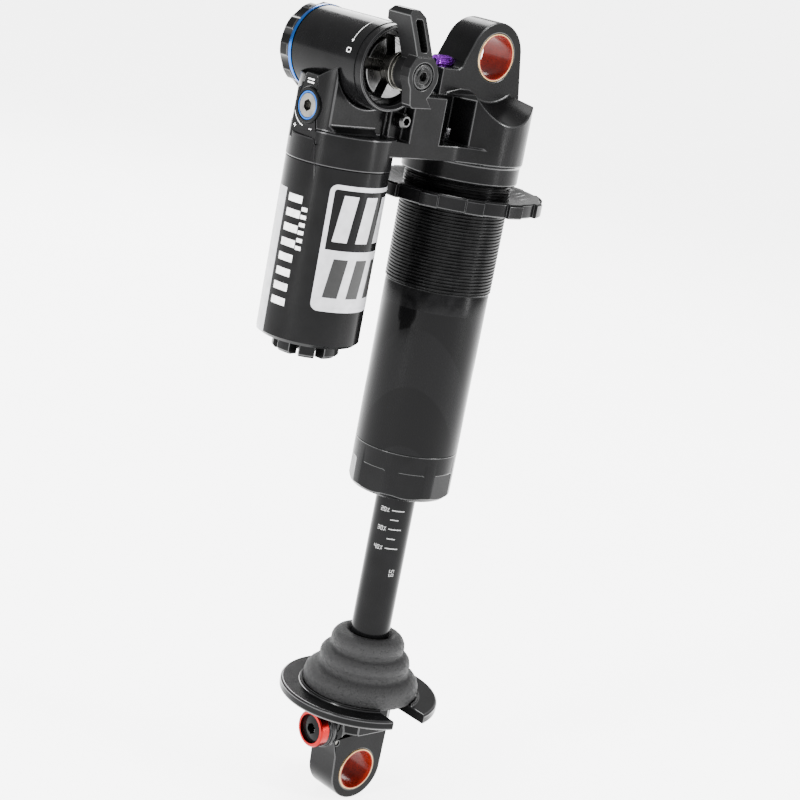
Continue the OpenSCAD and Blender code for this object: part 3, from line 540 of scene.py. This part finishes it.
def make_reservoir_marks():
    """Stripe, column of plain bars, small bars, and a rounded block split at mid height by slanted bars."""
    mark("stripe", [box_shape(-2.9, -85, 2.9, -43)], on_reservoir(160), "damper_body", SILVER)
    bars = [box_shape(-2.6, z, 2.6, z + 2.1) for z in np.arange(-75.5, -43, 4.2)]
    mark("bars", bars, on_reservoir(187), "damper_body", WHITE)
    small = [box_shape(-0.9, z, 0.9, z + 1.1) for z in np.arange(-59, -46, 2.2)]
    mark("small_bars", small, on_reservoir(201.5), "damper_body", WHITE)
    middle, columns, width, slant = 278, (-10.8, -3.6, 3.6), 4.4, 1.5
    block = frame_shapes(-13.6, -74.6, 13.6, -38.6, 2.2, 1.3)
    block.append(box_shape(-12.4, -73.4, 12.4, -57))
    mark("block", block, on_reservoir(middle), "damper_body", SILVER)
    upper = [box_shape(u, -54.6, u + width, -41.4, slant) for u in columns]
    mark("block_upper", upper, on_reservoir(middle), "damper_body", SILVER)
    lower = [box_shape(u, -70.6, u + width, -59.4, slant) for u in columns]
    mark("block_lower", lower, above_reservoir(middle, 0.015), "damper_body", PRINT_BLACK)


def make_barrel_marks():
    """Arc with an arrowhead, and a small rounded frame."""
    degree = math.radians(1) * BARREL_R
    arc = [box_shape(12 * degree, -9.7, 64 * degree, -9.5)]
    arc.append([(61 * degree, -10.1), (65 * degree, -9.6), (61 * degree, -9.1)])
    arc += frame_shapes(72.5 * degree, -10.6, 79 * degree, -8.8, 0.5, 0.25)
    mark("barrel_print", arc, round_barrel, "damper_body", WHITE)


def make_adjuster_marks():
    """Plus, minus, scale arc, and two plain dashes for a label, on the face of the high-speed adjuster."""
    thick = 0.22
    face = numerals("+", -5.0, -26.6, 0.95, thick) + numerals("-", 1.7, -26.5, 0.95, thick)
    face += [box_shape(-2.2, -13.3, 0.6, -12.9), box_shape(-2.2, -12.4, 0.6, -12.0)]
    ring = [math.radians(a) for a in range(205, 262, 6)]
    for a, b in zip(ring, ring[1:]):
        corners = ((SCALE_R, a), (SCALE_R, b), (SCALE_R + thick, b), (SCALE_R + thick, a))
        face.append([(r * math.cos(turn), ADJUSTER_Z + r * math.sin(turn)) for r, turn in corners])
    mark("adjuster_marks", face, on_adjuster_face, "damper_body", WHITE, 2)


make_tube()
make_bump_stop()
make_shaft_marks()
make_reservoir_marks()
make_barrel_marks()
make_adjuster_marks()


# ------------------------------------------------------------------ stage, light and camera

FLOOR_HALF = 25       # metres
FLOOR_GAP = 0.0004    # metres below the lowest point
FLOOR_GLOW = 4.5
WORLD_GLOW = 1.1
CAMERA_PLACE = (-0.41204, -0.41263, 0.04284)
CAMERA_TURN = (-44.52, 14.50, 10.90)      # azimuth, elevation and roll in degrees
CAMERA_LENS, CAMERA_SENSOR = 87.98, 36    # millimetres
CAMERA_CLIP = (0.02, 60)                  # metres
LIGHTS = {            # place, target and size in metres, power in watts
    "left strip": ((-1.0, -0.1, 0.25), (-0.02, 0, -0.1), (0.12, 0.9), 16),
    "right strip": ((0.55, -0.85, 0.25), (0, 0, -0.1), (0.1, 0.9), 14),
    "top": ((-0.1, 0.1, 1.2), (0, 0, -0.1), (0.5, 0.5), 18),
    "back": ((0.5, 0.8, 0.6), (0, 0, -0.1), (0.3, 0.9), 12)}


def area_light(name, place, target, size, power):
    """Rectangular lamp at a place, turned to a target."""
    data = bpy.data.lights.new(name, "AREA")
    data.shape = "RECTANGLE"
    data.size, data.size_y = size
    data.energy = power
    light = bpy.data.objects.new(name, data)
    bpy.context.scene.collection.objects.link(light)
    light.location = place
    light.rotation_mode = "QUATERNION"
    light.rotation_quaternion = (Vector(target) - Vector(place)).to_track_quat("-Z", "Y")


def make_floor():
    """Pale paper under the shock that glows enough to stay near white."""
    mesh = bpy.data.meshes.new("floor")
    z = cad_box[0][2] - FLOOR_GAP
    h = FLOOR_HALF
    mesh.from_pydata([(-h, -h, z), (h, -h, z), (h, h, z), (-h, h, z)], [], [(0, 1, 2, 3)])
    floor = bpy.data.objects.new("floor", mesh)
    bpy.context.scene.collection.objects.link(floor)
    material, tree, shader = start_material("floor_paper")
    link(tree, ramp(tree, noise(tree, 60, 3), [(0.3, 0.86), (0.7, 0.9)]), shader.inputs["Base Color"])
    shader.inputs["Roughness"].default_value = 0.9
    shader.inputs["Emission Color"].default_value = (1, 1, 1, 1)
    shader.inputs["Emission Strength"].default_value = FLOOR_GLOW
    mesh.materials.append(material)


def make_camera():
    """Long lens, from the front left and a little above, rolled so that the shock leans to the right."""
    azimuth, elevation, roll = (math.radians(a) for a in CAMERA_TURN)
    back = Vector((math.sin(azimuth) * math.cos(elevation), -math.cos(azimuth) * math.cos(elevation),
                   math.sin(elevation)))
    right = Vector((math.cos(azimuth), math.sin(azimuth), 0))
    up = back.cross(right)
    side = right * math.cos(roll) + up * math.sin(roll)
    top = up * math.cos(roll) - right * math.sin(roll)
    data = bpy.data.cameras.new("camera")
    data.sensor_width = CAMERA_SENSOR
    data.lens = CAMERA_LENS
    data.clip_start, data.clip_end = CAMERA_CLIP
    camera = bpy.data.objects.new("camera", data)
    bpy.context.scene.collection.objects.link(camera)
    turn = Matrix((side, top, back)).transposed().to_4x4()
    camera.matrix_world = Matrix.Translation(CAMERA_PLACE) @ turn
    bpy.context.scene.camera = camera


def make_world():
    """Even white light from all round."""
    world = bpy.data.worlds.new("studio")
    world.use_nodes = True
    background = world.node_tree.nodes["Background"]
    background.inputs["Color"].default_value = (1, 1, 1, 1)
    background.inputs["Strength"].default_value = WORLD_GLOW
    bpy.context.scene.world = world


make_floor()
make_camera()
make_world()
for name, settings in LIGHTS.items():
    area_light(name, *settings)
